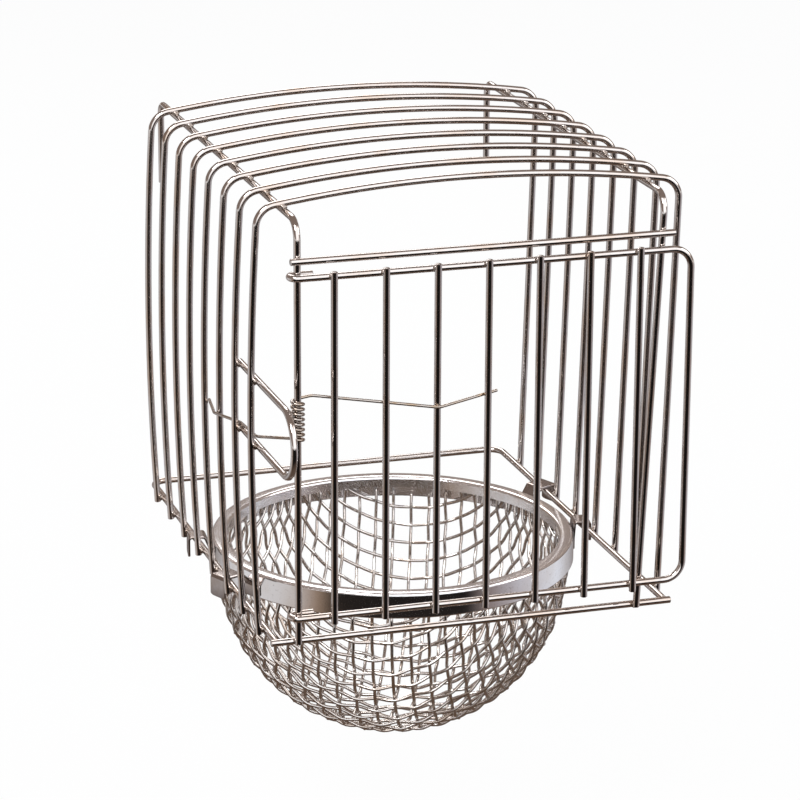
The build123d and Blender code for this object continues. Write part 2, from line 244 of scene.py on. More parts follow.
weld_nickel = plated_finish(
    "weld_nickel",
    bright=(0.36, 0.32, 0.29, 1), warm=(0.26, 0.20, 0.16, 1), shade=(0.12, 0.09, 0.07, 1),
    smooth=0.22, rough=0.46, cloud_scale=420.0, pit_scale=2400.0,
)
print("finishes:", [m.name for m in bpy.data.materials if m.name.endswith(("nickel", "steel"))])

# %% [markdown]
# ## From a bent line to a round wire
# A wire is a line with a thickness. The line is made first: straight runs with a true arc at each bend. A
# ring of points is then carried along it without twisting, and the cut ends get a small chamfer and a flat,
# as nippers leave them. A curve with a bevel would be shorter to write, but its ends can't be dressed.


# %% Lines with true bends
BEND_STEP = radians(7)
ARC_STEP = radians(14)


def bent_line(corners, radii):
    """Points along straight runs joined by arcs, one radius for each inner corner."""
    corners = [Vector(corner) for corner in corners]
    line = [corners[0]]
    for before, corner, after, radius in zip(corners, corners[1:], corners[2:], radii):
        back, ahead = (before - corner).normalized(), (after - corner).normalized()
        turn = pi - back.angle(ahead)
        inward = (back + ahead).normalized()
        centre = corner + inward * (radius / cos(turn / 2))
        start = corner + back * (radius * tan(turn / 2)) - centre
        axis = back.cross(ahead).normalized()
        steps = max(2, round(turn / BEND_STEP))
        line += [centre + Quaternion(axis, -turn * step / steps) @ start for step in range(steps + 1)]
    line.append(corners[-1])
    return line


def straight_line(start, end, runs=12):
    """Points along a straight run."""
    start, end = Vector(start), Vector(end)
    return [start + (end - start) * (run / runs) for run in range(runs + 1)]


def arc_on(line, centre, radius, start, end, plane):
    """Adds the points of a circle's arc to a line, from one angle to another in degrees."""
    steps = max(3, round(abs(radians(end - start)) * sqrt(radius) / ARC_STEP))
    for step in range(steps + 1):
        angle = radians(start + (end - start) * step / steps)
        line.append(plane(centre[0] + radius * cos(angle), centre[1] + radius * sin(angle)))


print("bend test:", len(bent_line([(0, 0, 0), (0, 0, 9), (0, 9, 9)], [3])), "points")

# %% A ring of points carried along a line
WIRE_RING = 16
SAME_PLACE = 0.01
BRACE = 1.0
BRACED_RUN = 12.0
END_CHAMFER = 0.16
END_TAPER = 0.24


def clean_line(line):
    """The same line without points that lie on each other."""
    kept = [line[0]]
    for point in line[1:]:
        if (point - kept[-1]).length > SAME_PLACE:
            kept.append(point)
    return kept


def braced_line(line):
    """The same line with a point near each end of a long run, to keep soft shading at the bends."""
    braced = [line[0]]
    for start, end in zip(line, line[1:]):
        run = end - start
        if run.length > BRACED_RUN:
            braced += [start + run.normalized() * BRACE, end - run.normalized() * BRACE]
        braced.append(end)
    return braced


def ring_frames(line):
    """Two directions across the line at each of its points, carried along without twist."""
    tangents = []
    for place in range(len(line)):
        tangents.append((line[min(place + 1, len(line) - 1)] - line[max(place - 1, 0)]).normalized())
    side = tangents[0].orthogonal().normalized()
    frames = []
    for tangent, previous in zip(tangents, [tangents[0]] + tangents):
        side = previous.rotation_difference(tangent) @ side
        side = (side - tangent * side.dot(tangent)).normalized()
        frames.append((tangent, side, tangent.cross(side)))
    return frames


def add_tube(mesh, line, radius, ring=WIRE_RING):
    """A round tube with nipped ends along a line, added to a mesh."""
    line = braced_line(clean_line(line))
    frames = ring_frames(line)
    end_radius = radius * (1 - END_TAPER)
    rings = [(line[0], frames[0], end_radius)]
    for place, (point, axes) in enumerate(zip(line, frames)):
        if place == 0:
            point = point + axes[0] * radius * END_CHAMFER
        if place == len(line) - 1:
            point = point - axes[0] * radius * END_CHAMFER
        rings.append((point, axes, radius))
    rings.append((line[-1], frames[-1], end_radius))
    loops = []
    for point, (_, side, other), size in rings:
        loop = []
        for corner in range(ring):
            angle = 2 * pi * corner / ring
            loop.append(mesh.verts.new((point + (side * cos(angle) + other * sin(angle)) * size) * MM))
        loops.append(loop)
    for first, second in zip(loops, loops[1:]):
        for corner in range(ring):
            after = (corner + 1) % ring
            mesh.faces.new((first[corner], first[after], second[after], second[corner]))
    mesh.faces.new(list(reversed(loops[0])))
    mesh.faces.new(loops[-1])


print("tube maker ready, ring of", WIRE_RING)


# %% From a mesh to a piece that stands for a node
def finish_piece(mesh, name, material, sharp=40):
    """Turns a mesh in the making into a piece of the scene."""
    bmesh.ops.recalc_face_normals(mesh, faces=mesh.faces)
    for face in mesh.faces:
        face.smooth = True
    for edge in mesh.edges:
        edge.smooth = len(edge.link_faces) != 2 or edge.calc_face_angle(0) < radians(sharp)
    data = bpy.data.meshes.new(name)
    mesh.to_mesh(data)
    mesh.free()
    piece = bpy.data.objects.new(name, data)
    bpy.context.scene.collection.objects.link(piece)
    data.materials.append(material)
    return piece


def wire_piece(node, line, body, material, radius=WIRE / 2):
    """A round wire that stands for the CAD node of that name."""
    mesh = bmesh.new()
    add_tube(mesh, line, radius)
    piece = finish_piece(mesh, "round_" + node, material)
    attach(piece, body)
    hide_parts(node)
    return piece


print("wire maker ready, wire of", WIRE, "mm")

# %% [markdown]
# ## The hoops
# Eight hoops make the walls and the roof. Each is one wire: a bowed left leg, a tight shoulder, a crown so
# flat that it is nearly straight, a second shoulder and a straight right leg that leans in at its foot.
# Bending by hand leaves each hoop a hair different, so each is drawn with its own small error, far less than
# the thickness of the wire.

# %% Where legs, shoulders and crown meet
crown_half = asin((FOOT_X - SHOULDER_RADIUS * cos(radians(LEG_LEAN))) / (CROWN_RADIUS - SHOULDER_RADIUS))
shoulder_z = (
    CROWN_Z
    - CROWN_RADIUS * (1 - cos(crown_half))
    - SHOULDER_RADIUS * (cos(crown_half) - sin(radians(LEG_LEAN)))
)
leg_radius = (shoulder_z - FLOOR_Z) / 2 / sin(radians(LEG_LEAN))
leg_middle_z = (shoulder_z + FLOOR_Z) / 2
leg_centre_x = FOOT_X - leg_radius * cos(radians(LEG_LEAN))
right_lean = radians(RIGHT_LEG_LEAN)
centre_drop = CROWN_RADIUS - BODY_HEIGHT
right_reach = RIGHT_FOOT_X * cos(right_lean) - centre_drop * sin(right_lean) - SHOULDER_RADIUS
right_crown_half = right_lean + asin(right_reach / (CROWN_RADIUS - SHOULDER_RADIUS))
print(f"crown at {CROWN_Z:.1f} mm, shoulder at {shoulder_z:.1f} mm")


# %% Hoops
SWAY_RANGE = (0.10, 0.22)
SWAY_WAVE = 24.0


def hoop_y(number):
    return -HOOK_DEPTH - (number - 1) * HOOP_PITCH


def leg_x(z):
    return leg_centre_x + sqrt(leg_radius**2 - (z - leg_middle_z) ** 2)


def shoulder_centre(half):
    reach = CROWN_RADIUS - SHOULDER_RADIUS
    return reach * sin(half), CROWN_Z - CROWN_RADIUS + reach * cos(half)


def hoop_line(y):
    """One hoop from its left foot over the crown to its right foot."""
    lean = radians(LEG_LEAN)
    crown_start, crown_end = 90 + degrees(crown_half), 90 - degrees(right_crown_half)
    left_x, left_z = shoulder_centre(crown_half)
    turned = [Vector((-FOOT_X + sin(lean) * FOOT_TAIL, y, FLOOR_Z - cos(lean) * FOOT_TAIL))]

    def plane(u, v):
        return Vector((u, y, v))

    arc_on(turned, (-leg_centre_x, leg_middle_z), leg_radius, 180 + LEG_LEAN, 180 - LEG_LEAN, plane)
    arc_on(turned, (-left_x, left_z), SHOULDER_RADIUS, 180 - LEG_LEAN, crown_start, plane)
    arc_on(turned, (0, CROWN_Z - CROWN_RADIUS), CROWN_RADIUS, crown_start, crown_end, plane)
    arc_on(turned, shoulder_centre(right_crown_half), SHOULDER_RADIUS, crown_end, -RIGHT_LEG_LEAN, plane)
    foot = Vector((RIGHT_FOOT_X - sin(right_lean) * FOOT_TAIL, y, FLOOR_Z - cos(right_lean) * FOOT_TAIL))
    return turned + straight_line(turned[-1], foot)[1:]


hand = random.Random(7)
for number in range(1, HOOP_COUNT + 1):
    line = hoop_line(hoop_y(number))
    sway, phase = hand.uniform(*SWAY_RANGE), hand.uniform(0, 2 * pi)
    for point in line:
        height = (point.z - FLOOR_Z) / BODY_HEIGHT
        point.y += sway * sin(pi * min(max(height, 0), 1)) * sin(phase + point.x / SWAY_WAVE)
    wire_piece(f"hoop_{number}", line, "frame", frame_nickel)
print("hoops:", HOOP_COUNT)

# %% [markdown]
# ## Hook wires and posts
# Two long wires run under the roof. Behind the last hoop each turns down into a hook, and ahead of the first
# one it turns down into a post, which carries the door. The right post leans in a little at its foot.

# %% Hook wires
posts = {}
for side, direction, toe in (("left", -1, 0.0), ("right", 1, RIGHT_POST_TOE)):
    x = direction * HOOK_X
    corners = [
        (x, WIRE / 2, -HOOK_DROP),
        (x, WIRE / 2, HOOK_Z),
        (x, POST_Y, HOOK_Z),
        (x - direction * toe, POST_Y, FLOOR_Z - POST_FOOT),
    ]
    posts[side] = (Vector(corners[2]), Vector(corners[3]))
    line = bent_line(corners, [HOOK_BEND, POST_BEND])
    wire_piece(f"{side}_hook_wire", line, "frame", frame_nickel)


def post_at(side, z):
    top, foot = posts[side]
    return top + (foot - top) * ((top.z - z) / (top.z - foot.z))


print("posts:", {side: round(post_at(side, FLOOR_Z).x, 2) for side in posts})

# %% [markdown]
# ## Floor wires and the bar over the door
# One wire makes three sides of the floor, and its two cut ends are butted on a straight wire under the door.
# A second straight wire joins the posts above the door.

# %% Floor wires
CAGE_WIRE = 2.0
FLOOR_BEND = 4.0
CROSS_OVERHANG = 1.5
TOP_BAR_DROP = 9.6
TOP_BAR_OVERHANG = 2.3
rear_y = -CAGE_WIRE - WIRE / 2
floor_end_y = CROSS_Y + WIRE / 2 + WELD_GAP
floor_corners = [
    (-FLOOR_X, floor_end_y, FLOOR_Z),
    (-FLOOR_X, rear_y, FLOOR_Z),
    (RIGHT_FLOOR_X, rear_y, FLOOR_Z),
    (RIGHT_FLOOR_X, floor_end_y, FLOOR_Z),
]
wire_piece("base_wire", bent_line(floor_corners, [FLOOR_BEND] * 2), "frame", frame_nickel)
cross_left = (-FLOOR_X - CROSS_OVERHANG, CROSS_Y, FLOOR_Z)
cross_right = (RIGHT_FLOOR_X + CROSS_OVERHANG, CROSS_Y, FLOOR_Z)
cross_line = straight_line(cross_left, cross_right)
wire_piece("front_cross_wire", cross_line, "frame", frame_nickel)
top_bar_y = POST_Y - WIRE - WELD_GAP
top_bar_z = HOOK_Z - TOP_BAR_DROP
top_half = HOOK_X + TOP_BAR_OVERHANG
top_line = straight_line((-top_half, top_bar_y, top_bar_z), (top_half, top_bar_y, top_bar_z))
wire_piece("top_cross_bar", top_line, "frame", frame_nickel)
print(f"cross wires at {FLOOR_Z:.1f} and {top_bar_z:.1f} mm")

# %% [markdown]
# ## The door stop loop
# A narrow loop on the inside of the two front left legs stands out ahead of the house. The opened door comes
# to rest against it, so it never folds flat on the wall.

# %% Door stop loop
LOOP_WIDTH = 17.1
LOOP_CENTRE = 58.0
LOOP_REACH = 33.0
LOOP_END = 2.2
loop_top_z = FLOOR_Z + LOOP_CENTRE + LOOP_WIDTH / 2
loop_bottom_z = loop_top_z - LOOP_WIDTH
loop_x = -min(leg_x(loop_top_z), leg_x(loop_bottom_z)) + WIRE + WELD_GAP
loop_rear_y = hoop_y(HOOP_COUNT - 1) + LOOP_END
loop_bend_y = FRONT_HOOP_Y - LOOP_REACH + LOOP_WIDTH / 2
loop_line = [Vector((loop_x, loop_rear_y, loop_top_z))]
arc_on(loop_line, (loop_bend_y, loop_top_z - LOOP_WIDTH / 2), LOOP_WIDTH / 2, 90, 270,
       lambda u, v: Vector((loop_x, u, v)))
loop_line.append(Vector((loop_x, loop_rear_y, loop_bottom_z)))
wire_piece("door_stop_loop", loop_line, "frame", frame_nickel)
print(f"loop plane at {loop_x:.2f} mm")

# %% [markdown]
# ## The door
# The door's outline is one wire. Each of its ends is rolled into an eye that turns on the left post, so the
# post is the hinge pin. Seven straight bars are welded across the outside of its two rails.

# %% Door frame
DOOR_WIDTH = 103.2
DOOR_SILL = 7.2
DOOR_GAP = 4.3
DOOR_BEND = 5.0
EYE_CLEARANCE = 0.1
EYE_TAIL = 4.5
hinge_x = -HOOK_X
eye_radius = WIRE + EYE_CLEARANCE
rail_y = POST_Y - eye_radius
head_z = top_bar_z - DOOR_GAP
sill_z = FLOOR_Z + DOOR_SILL


def eye_line(height):
    """A hinge eye from its tail behind the post to the start of the rail."""
    line = [Vector((hinge_x + EYE_TAIL, POST_Y + eye_radius, height))]
    arc_on(line, (hinge_x, POST_Y), eye_radius, 90, 270, lambda u, v: Vector((u, v, height)))
    return line


stile_x = hinge_x + DOOR_WIDTH
door_corners = [
    (hinge_x, rail_y, head_z),
    (stile_x, rail_y, head_z),
    (stile_x, rail_y, sill_z),
    (hinge_x, rail_y, sill_z),
]
door_line = eye_line(head_z) + bent_line(door_corners, [DOOR_BEND] * 2) + list(reversed(eye_line(sill_z)))
wire_piece("door_frame", door_line, "door", door_nickel)
print(f"door rails at {sill_z:.1f} and {head_z:.1f} mm")

# %% Door bars
BAR_COUNT = 7
BAR_FIRST = 8.4
BAR_PITCH = 13.4
BAR_END = 1.6
bar_y = rail_y - WIRE - WELD_GAP
bar_stations = [hinge_x + BAR_FIRST + place * BAR_PITCH for place in range(BAR_COUNT)]
for number, x in enumerate(bar_stations, start=1):
    line = straight_line((x, bar_y, sill_z - BAR_END), (x, bar_y, head_z + BAR_END))
    wire_piece(f"door_bar_{number}", line, "door", door_nickel)
print("door bars at", [round(x, 1) for x in bar_stations])

# %% [markdown]
# ## The torsion spring
# A thin spring wire is coiled round the post. One arm is woven through the left legs and stays with the
# house, the other is woven through the door bars and goes with the door, and the coil between them winds up
# as the door opens. The coil is a true helix, so it is drawn from its formula.

# %% The coil on the post
SPRING_WIRE = 0.8
SPRING_PITCH = 1.32
SPRING_TURNS = 7
SPRING_CLEARANCE = 0.15
SPRING_FOOT = 54.0
ARM_GAP = 0.15
COIL_STEPS = 28
coil_radius = WIRE / 2 + SPRING_CLEARANCE + SPRING_WIRE / 2
arm_offset = WIRE / 2 + SPRING_WIRE / 2 + ARM_GAP
coil_slope = SPRING_PITCH / (2 * pi * coil_radius)
coil_start_z = FLOOR_Z + SPRING_FOOT
front_leg = Vector((-leg_x(coil_start_z) + arm_offset - hinge_x, FRONT_HOOP_Y - POST_Y))
arm_run = sqrt(front_leg.length_squared - coil_radius**2)
start_angle = atan2(front_leg.y, front_leg.x) - acos(coil_radius / front_leg.length)
turn_angle = 2 * pi * SPRING_TURNS + 1.5 * pi + start_angle


def coil_point(turned):
    angle = start_angle - turned
    height = coil_start_z + SPRING_PITCH * turned / (2 * pi)
    return Vector((hinge_x + coil_radius * cos(angle), POST_Y + coil_radius * sin(angle), height))


def coil_tangent(turned):
    angle = start_angle - turned
    return Vector((sin(angle), -cos(angle), coil_slope)).normalized()


coil_count = round(COIL_STEPS * turn_angle / (2 * pi))
coil = [coil_point(turn_angle * step / coil_count) for step in range(coil_count + 1)]
print(f"coil: {turn_angle / (2 * pi):.2f} turns, {len(coil)} points")

# %% The two arms
ARM_BEND = 4.0
ARM_LEAD = 4.0
ARM_TIP = 3.2
ARM_SAG = 3.4
ARM_RISE = 1.6
LEFT_ARM_FALL = (1.0, 2.9, 4.8)
front_leg_z = coil_start_z - coil_slope * arm_run
left_arm = [coil_point(0) - coil_tangent(0) * arm_run * sqrt(1 + coil_slope**2)]
for place, fall in enumerate(LEFT_ARM_FALL, start=1):
    weave = arm_offset if place != 2 else -arm_offset
    arm_z = front_leg_z - fall
    left_arm.append(Vector((-leg_x(arm_z) + weave, FRONT_HOOP_Y + place * HOOP_PITCH, arm_z)))
left_tip = left_arm[-1] + (left_arm[-1] - left_arm[-2]).normalized() * ARM_TIP
left_corners = [coil_point(0)] + left_arm[:-1] + [left_tip]
coil_top = coil_point(turn_angle)
right_arm = [coil_top, coil_top + coil_tangent(turn_angle) * ARM_LEAD]
for station, weave, drop in ((1, 1, ARM_SAG / 2), (2, -1, ARM_SAG), (3, 1, ARM_SAG - ARM_RISE)):
    right_arm.append(Vector((bar_stations[station], bar_y + weave * arm_offset, coil_top.z - drop)))
right_tip = right_arm[-1] + (right_arm[-1] - right_arm[-2]).normalized() * ARM_TIP
right_corners = right_arm[:-1] + [right_tip]
print("arm bends:", len(left_corners) - 2, "and", len(right_corners) - 2)

# %% Spring
SPRING_RING = 12
spring_line = (
    list(reversed(bent_line(left_corners, [ARM_BEND] * (len(left_corners) - 2))))
    + coil
    + bent_line(right_corners, [ARM_BEND] * (len(right_corners) - 2))
)
mesh = bmesh.new()
add_tube(mesh, spring_line, SPRING_WIRE / 2, ring=SPRING_RING)
spring = finish_piece(mesh, "coiled_spring", spring_steel)
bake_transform(spring)
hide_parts("torsion_spring")
print("spring:", len(spring_line), "points")

# %% [markdown]
# ## The rim of the nest bowl
# A strip of sheet stands on edge round the bowl and is folded over inwards, and the edge of the cloth is
# caught in the fold. It is turned from its profile like a pot on a wheel, with the fold pressed flat between
# two tight corners, and the wheel wobbles a little, as a strip that is rolled by hand does.

# %% Section of the rim
RIM_HEIGHT = 7.0
RIM_SHEET = 0.5
RIM_LIP = 3.2
RIM_RISE = 0.3
HEM_WIDTH = 4.02
FOLD_CORNER = 0.9
FACE_MARGIN = 0.2
EDGE_BREAK = 0.1
EDGE_RISE = 0.12
BOWL_Y = hoop_y(1) - 3 * HOOP_PITCH
rim_top_z = FLOOR_Z + RIM_RISE
mesh_radius = RIM_RADIUS - HEM_WIDTH / 2


def fold_points(inset, corner, steps=6):
    """The fold in section, from outside to inside: two tight corners with a flat top between."""
    points = []
    for direction, start in ((1, 0), (-1, 90)):
        x = mesh_radius + direction * (HEM_WIDTH / 2 - inset - corner)
        for step in range(steps + 1):
            angle = radians(start + 90 * step / steps)
            points.append((x + corner * cos(angle), rim_top_z - inset - corner + corner * sin(angle)))
    return points


rim_foot_z = rim_top_z - RIM_HEIGHT
lip_radius = RIM_RADIUS - HEM_WIDTH
flat_top_z = rim_top_z - FOLD_CORNER - FACE_MARGIN
outer_face = [
    (RIM_RADIUS - EDGE_BREAK, rim_foot_z),
    (RIM_RADIUS, rim_foot_z + EDGE_RISE),
    (RIM_RADIUS, rim_foot_z + EDGE_RISE + FACE_MARGIN),
    (RIM_RADIUS, flat_top_z),
]
lip_foot_z = rim_top_z - RIM_LIP
lip = [(lip_radius, flat_top_z), (lip_radius, lip_foot_z), (lip_radius + RIM_SHEET, lip_foot_z)]
rim_profile = (
    outer_face
    + fold_points(0, FOLD_CORNER)
    + lip
    + list(reversed(fold_points(RIM_SHEET, FOLD_CORNER - RIM_SHEET)))
    + [(RIM_RADIUS - RIM_SHEET, rim_foot_z)]
)
print("rim section:", len(rim_profile), "points")

# %% Rim band
RIM_STEPS = 160
RIM_WOBBLE = 0.12
WOBBLE_SCALE = 2.3
mesh = bmesh.new()
loops = []
for step in range(RIM_STEPS):
    angle = 2 * pi * step / RIM_STEPS
    direction = Vector((cos(angle), sin(angle), 0))
    wobble = RIM_WOBBLE * (noise.noise(direction * WOBBLE_SCALE) - 0.5)
    loop = []
    for radius, z in rim_profile:
        loop.append(mesh.verts.new((direction * (radius + wobble) + Vector((0, BOWL_Y, z))) * MM))
    loops.append(loop)
for step in range(RIM_STEPS):
    first, second = loops[step], loops[(step + 1) % RIM_STEPS]
    for place in range(len(rim_profile)):
        after = (place + 1) % len(rim_profile)
        mesh.faces.new((first[place], second[place], second[after], first[after]))
rim = finish_piece(mesh, "folded_rim", strip_nickel)
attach(rim, "nest_bowl")
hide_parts("rim_band")
print("rim:", len(rim.data.polygons), "faces")

# %% [markdown]
# ## The woven cloth
# The bowl is pressed from flat wire cloth. A cloth keeps the length of its wires and gives way only in the
# angle between them, so its squares close to slim diamonds at four places of the edge. Such a net is easy to
# draw on a sphere: each next crossing is the mirror image of the one before, in the plane through the
# sphere's centre and the two crossings between them. Each wire then passes over and under in turn.

# %% Net on the sphere
MESH_COUNT = 29
BOWL_SINK = 7.4
bowl_centre = Vector((0, BOWL_Y, rim_top_z - BOWL_SINK))
mesh_half = MESH_COUNT // 2
net_size = mesh_half + 2
net = {}
for place in range(net_size + 1):
    along = mesh_radius * sin(place * pi / MESH_COUNT)
    below = -mesh_radius * cos(place * pi / MESH_COUNT)
    net[place, 0] = Vector((along, 0, below))
    net[0, place] = Vector((0, along, below))
for row in range(1, net_size + 1):
    for column in range(1, net_size + 1):
        mirror = net[row - 1, column].cross(net[row, column - 1]).normalized()
        corner = net[row - 1, column - 1]
        net[row, column] = corner - mirror * (2 * corner.dot(mirror))


def crossing(row, column):
    place = net[abs(row), abs(column)]
    return Vector((place.x if row >= 0 else -place.x, place.y if column >= 0 else -place.y, place.z))


print("crossings in a quarter of the net:", len(net))


# %% Wires over and under
MESH_WIRE = 0.92
MESH_WAVE = 0.46
MESH_TUCK = 4.9
MESH_TURN = -24.0
MESH_STEPS = 5
MESH_RING = 8


def cloth_line(row, across):
    """One wire of the cloth from edge to edge, on the sphere, lifted and lowered in turn."""
    knots = []
    for column in range(-net_size, net_size + 1):
        knots.append(crossing(column, row) if across else crossing(row, column))
    line = []
    for place in range(1, len(knots) - 2):
        before, start, end, after = knots[place - 1 : place + 3]
        phase = (row + place - net_size + across) % 2
        for step in range(MESH_STEPS):
            share = step / MESH_STEPS
            point = (
                start * 2
                + (end - before) * share
                + (before * 2 - start * 5 + end * 4 - after) * share**2
                + (start * 3 - before - end * 3 + after) * share**3
            ) / 2
            lift = MESH_WAVE * cos(pi * share) * (1 if phase else -1)
            line.append(point.normalized() * (mesh_radius + lift))
    return [point for point in line if point.z < MESH_TUCK]


cloth_turn = Matrix.Rotation(radians(MESH_TURN), 3, "Z")
for node, across in (("mesh_warp", 0), ("mesh_weft", 1)):
    mesh = bmesh.new()
    for row in range(-mesh_half, mesh_half + 1):
        line = [cloth_turn @ point + bowl_centre for point in cloth_line(row, across)]
        add_tube(mesh, line, MESH_WIRE / 2, ring=MESH_RING)
    cloth = finish_piece(mesh, "woven_" + node, cloth_nickel, sharp=60)
    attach(cloth, "nest_bowl")
    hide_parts(node)
    print(cloth.name, len(cloth.data.polygons), "faces")

# %% [markdown]
# ## The ears of the bowl
# Four short strips hang the bowl in the floor, in two pairs that face each other across it. Each lies flat
# on the band with its foot, is bent outwards over the floor wire and hangs down outside it. The strip is laid
# out as a grid, and a Solidify modifier gives it its thickness.

# %% Ears
EAR_ANGLES = {"right_rear": 23.6, "right_front": -10.0, "left_front": 203.6, "left_rear": 170.0}
EAR_WIDTH = 6.0
EAR_SHEET = 0.6
EAR_SEAT = 0.05
EAR_TAB = 3.4
EAR_SLACK = 0.4
EAR_DROP = 5.6
EAR_BEND = 0.8
EAR_ROUNDING = 0.5
EAR_EDGE = 0.12
EAR_RUNS = 12
ear_z = FLOOR_Z + WIRE / 2 + EAR_SEAT + EAR_SHEET / 2
tab_radius = RIM_RADIUS + WELD_GAP + EAR_SHEET / 2


def ear_piece(node, angle):
    """A bent strip from the band over the floor wire, at an angle round the bowl."""
    turn = Matrix.Rotation(radians(angle), 3, "Z")
    lean = cos(radians(angle))
    wire_radius = (RIGHT_FLOOR_X if lean > 0 else FLOOR_X) / abs(lean)
    half_width = EAR_WIDTH / 2 * abs(tan(radians(angle)))
    reach = (WIRE / 2 + EAR_SLACK) / abs(lean) + half_width + EAR_SHEET / 2
    mesh = bmesh.new()
    rows = []
    for run in range(EAR_RUNS + 1):
        share = 2 * run / EAR_RUNS - 1
        rounding = EAR_ROUNDING * abs(share) ** 6
        across = EAR_WIDTH / 2 * share
        corners = [
            (tab_radius, across, rim_foot_z + rounding),
            (tab_radius, across, rim_foot_z + EAR_TAB),
            (wire_radius - reach, across, ear_z),
            (wire_radius + reach, across, ear_z),
            (wire_radius + reach, across, ear_z - EAR_DROP + rounding),
        ]
        line = bent_line(corners, [EAR_BEND] * 3)
        rows.append([mesh.verts.new((turn @ point + Vector((0, BOWL_Y, 0))) * MM) for point in line])
    for first, second in zip(rows, rows[1:]):
        for place in range(len(first) - 1):
            mesh.faces.new((first[place], first[place + 1], second[place + 1], second[place]))
    piece = finish_piece(mesh, "strip_" + node, shaded_ear_nickel)
    thick = piece.modifiers.new("sheet", "SOLIDIFY")
    thick.thickness = EAR_SHEET * MM
    thick.offset = 0
    edge = piece.modifiers.new("rounded_edge", "BEVEL")
    edge.width = EAR_EDGE * MM
    edge.segments = 2
    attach(piece, "nest_bowl")
    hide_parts(node)


for name, angle in EAR_ANGLES.items():
    ear_piece("ear_" + name, angle)
print("ears at", EAR_ANGLES)

# %% [markdown]
# ## The welds
# Where two wires cross they are pressed together while a current melts the touching spot. The metal that is
# squeezed out freezes as a small uneven collar in the crook between them. Each collar here is a knobbly lens
# that lies between the two wires, and all the collars of one body make one piece.

# %% Weld collars
WELD_SPREAD = 0.92
WELD_THICK = 0.62
WELD_SIZES = (0.9, 1.12)
WELD_LUMPS = 0.22
LUMP_SCALE = 1.9
NOISE_ROOM = 50
weld_hand = random.Random(21)


def add_weld(mesh, place, across):
    """A knobbly lens at a contact, flat along the line from one wire's centre to the other's."""
    made = bmesh.ops.create_icosphere(mesh, subdivisions=3, radius=1.0)["verts"]
    turn = Vector((0, 0, 1)).rotation_difference(Vector(across))
    seed = Vector([weld_hand.uniform(0, NOISE_ROOM) for _ in range(3)])
    size = weld_hand.uniform(*WELD_SIZES)
    for vertex in made:
        bump = 1 + WELD_LUMPS * noise.noise(vertex.co * LUMP_SCALE + seed)
        shaped = Vector((vertex.co.x * WELD_SPREAD, vertex.co.y * WELD_SPREAD, vertex.co.z * WELD_THICK))
        vertex.co = (Vector(place) + turn @ shaped * bump * size) * MM


def weld_piece(name, welds, body):
    mesh = bmesh.new()
    for place, across in welds:
        add_weld(mesh, place, across)
    piece = finish_piece(mesh, name, weld_nickel, sharp=80)
    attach(piece, body)
    print(name, len(welds))


print("weld maker ready")

# %% Welds of the house
ALONG_X, ALONG_Y, ALONG_Z = (1, 0, 0), (0, 1, 0), (0, 0, 1)
foot_welds = {-1: -(FLOOR_X + FOOT_X) / 2, 1: (RIGHT_FLOOR_X + RIGHT_FOOT_X) / 2}
floor_ends = {-1: -FLOOR_X, 1: RIGHT_FLOOR_X}
frame_welds = []
for number in range(1, HOOP_COUNT + 1):
    for direction in (-1, 1):
        frame_welds.append(((direction * HOOK_X, hoop_y(number), WIRE + WELD_GAP), ALONG_Z))
        frame_welds.append(((foot_welds[direction], hoop_y(number), FLOOR_Z), ALONG_X))
for side in posts:
    frame_welds.append(((post_at(side, FLOOR_Z).x, (POST_Y + CROSS_Y) / 2, FLOOR_Z), ALONG_Y))
    frame_welds.append(((post_at(side, top_bar_z).x, (POST_Y + top_bar_y) / 2, top_bar_z), ALONG_Y))
for direction in (-1, 1):
    frame_welds.append(((floor_ends[direction], CROSS_Y + WIRE / 2, FLOOR_Z), ALONG_Y))
for number in (HOOP_COUNT - 1, HOOP_COUNT):
    for z in (loop_top_z, loop_bottom_z):
        frame_welds.append((((loop_x - leg_x(z)) / 2, hoop_y(number), z), ALONG_X))
weld_piece("frame_welds", frame_welds, "frame")

# %% Welds of the door
door_welds = []
for x in bar_stations:
    for z in (head_z, sill_z):
        door_welds.append(((x, (rail_y + bar_y) / 2, z), ALONG_Y))
weld_piece("door_welds", door_welds, "door")

# %% [markdown]
# ## Camera
# The photograph is taken from the left of the door and a little above it, with a long lens. The place comes
# from matching known points of the wire house to where they lie in the picture.

# %% Camera
FOCAL_PIXELS = 3500.0
PICTURE = 800.0
SENSOR = 36.0
VIEW_YAW = 17.70
VIEW_PITCH = 17.47
VIEW_ROLL = -0.28
EYE = Vector((-275.3, -932.0, 215.6)) * MM
yaw, pitch = radians(VIEW_YAW), radians(VIEW_PITCH)
ahead = Vector((sin(yaw) * cos(pitch), cos(yaw) * cos(pitch), -sin(pitch)))
right = Vector((cos(yaw), -sin(yaw), 0))
up = right.cross(ahead)
roll = Quaternion(ahead, radians(VIEW_ROLL))
right, up = roll @ right, roll @ up
lens = bpy.data.cameras.new("photo_lens")
lens.sensor_width = SENSOR
lens.lens = SENSOR * FOCAL_PIXELS / PICTURE
lens.clip_start = 0.05
camera = bpy.data.objects.new("photo_camera", lens)
camera.matrix_world = Matrix((
    (right.x, up.x, -ahead.x, EYE.x),
    (right.y, up.y, -ahead.y, EYE.y),
    (right.z, up.z, -ahead.z, EYE.z),
    (0, 0, 0, 1),
))
bpy.context.scene.collection.objects.link(camera)
bpy.context.scene.camera = camera
bpy.context.scene.view_settings.view_transform = "Standard"
print(f"lens {lens.lens:.1f} mm")

# %% [markdown]
# ## White floor
# The nest floats on white. A sheet of white paper would turn grey where the lamps don't reach it, and more
# light would bleach the wire. So the paper glows by itself for rays from the camera, from metal and through
# clear things, and a small share of it stays matt, which keeps a faint shadow.

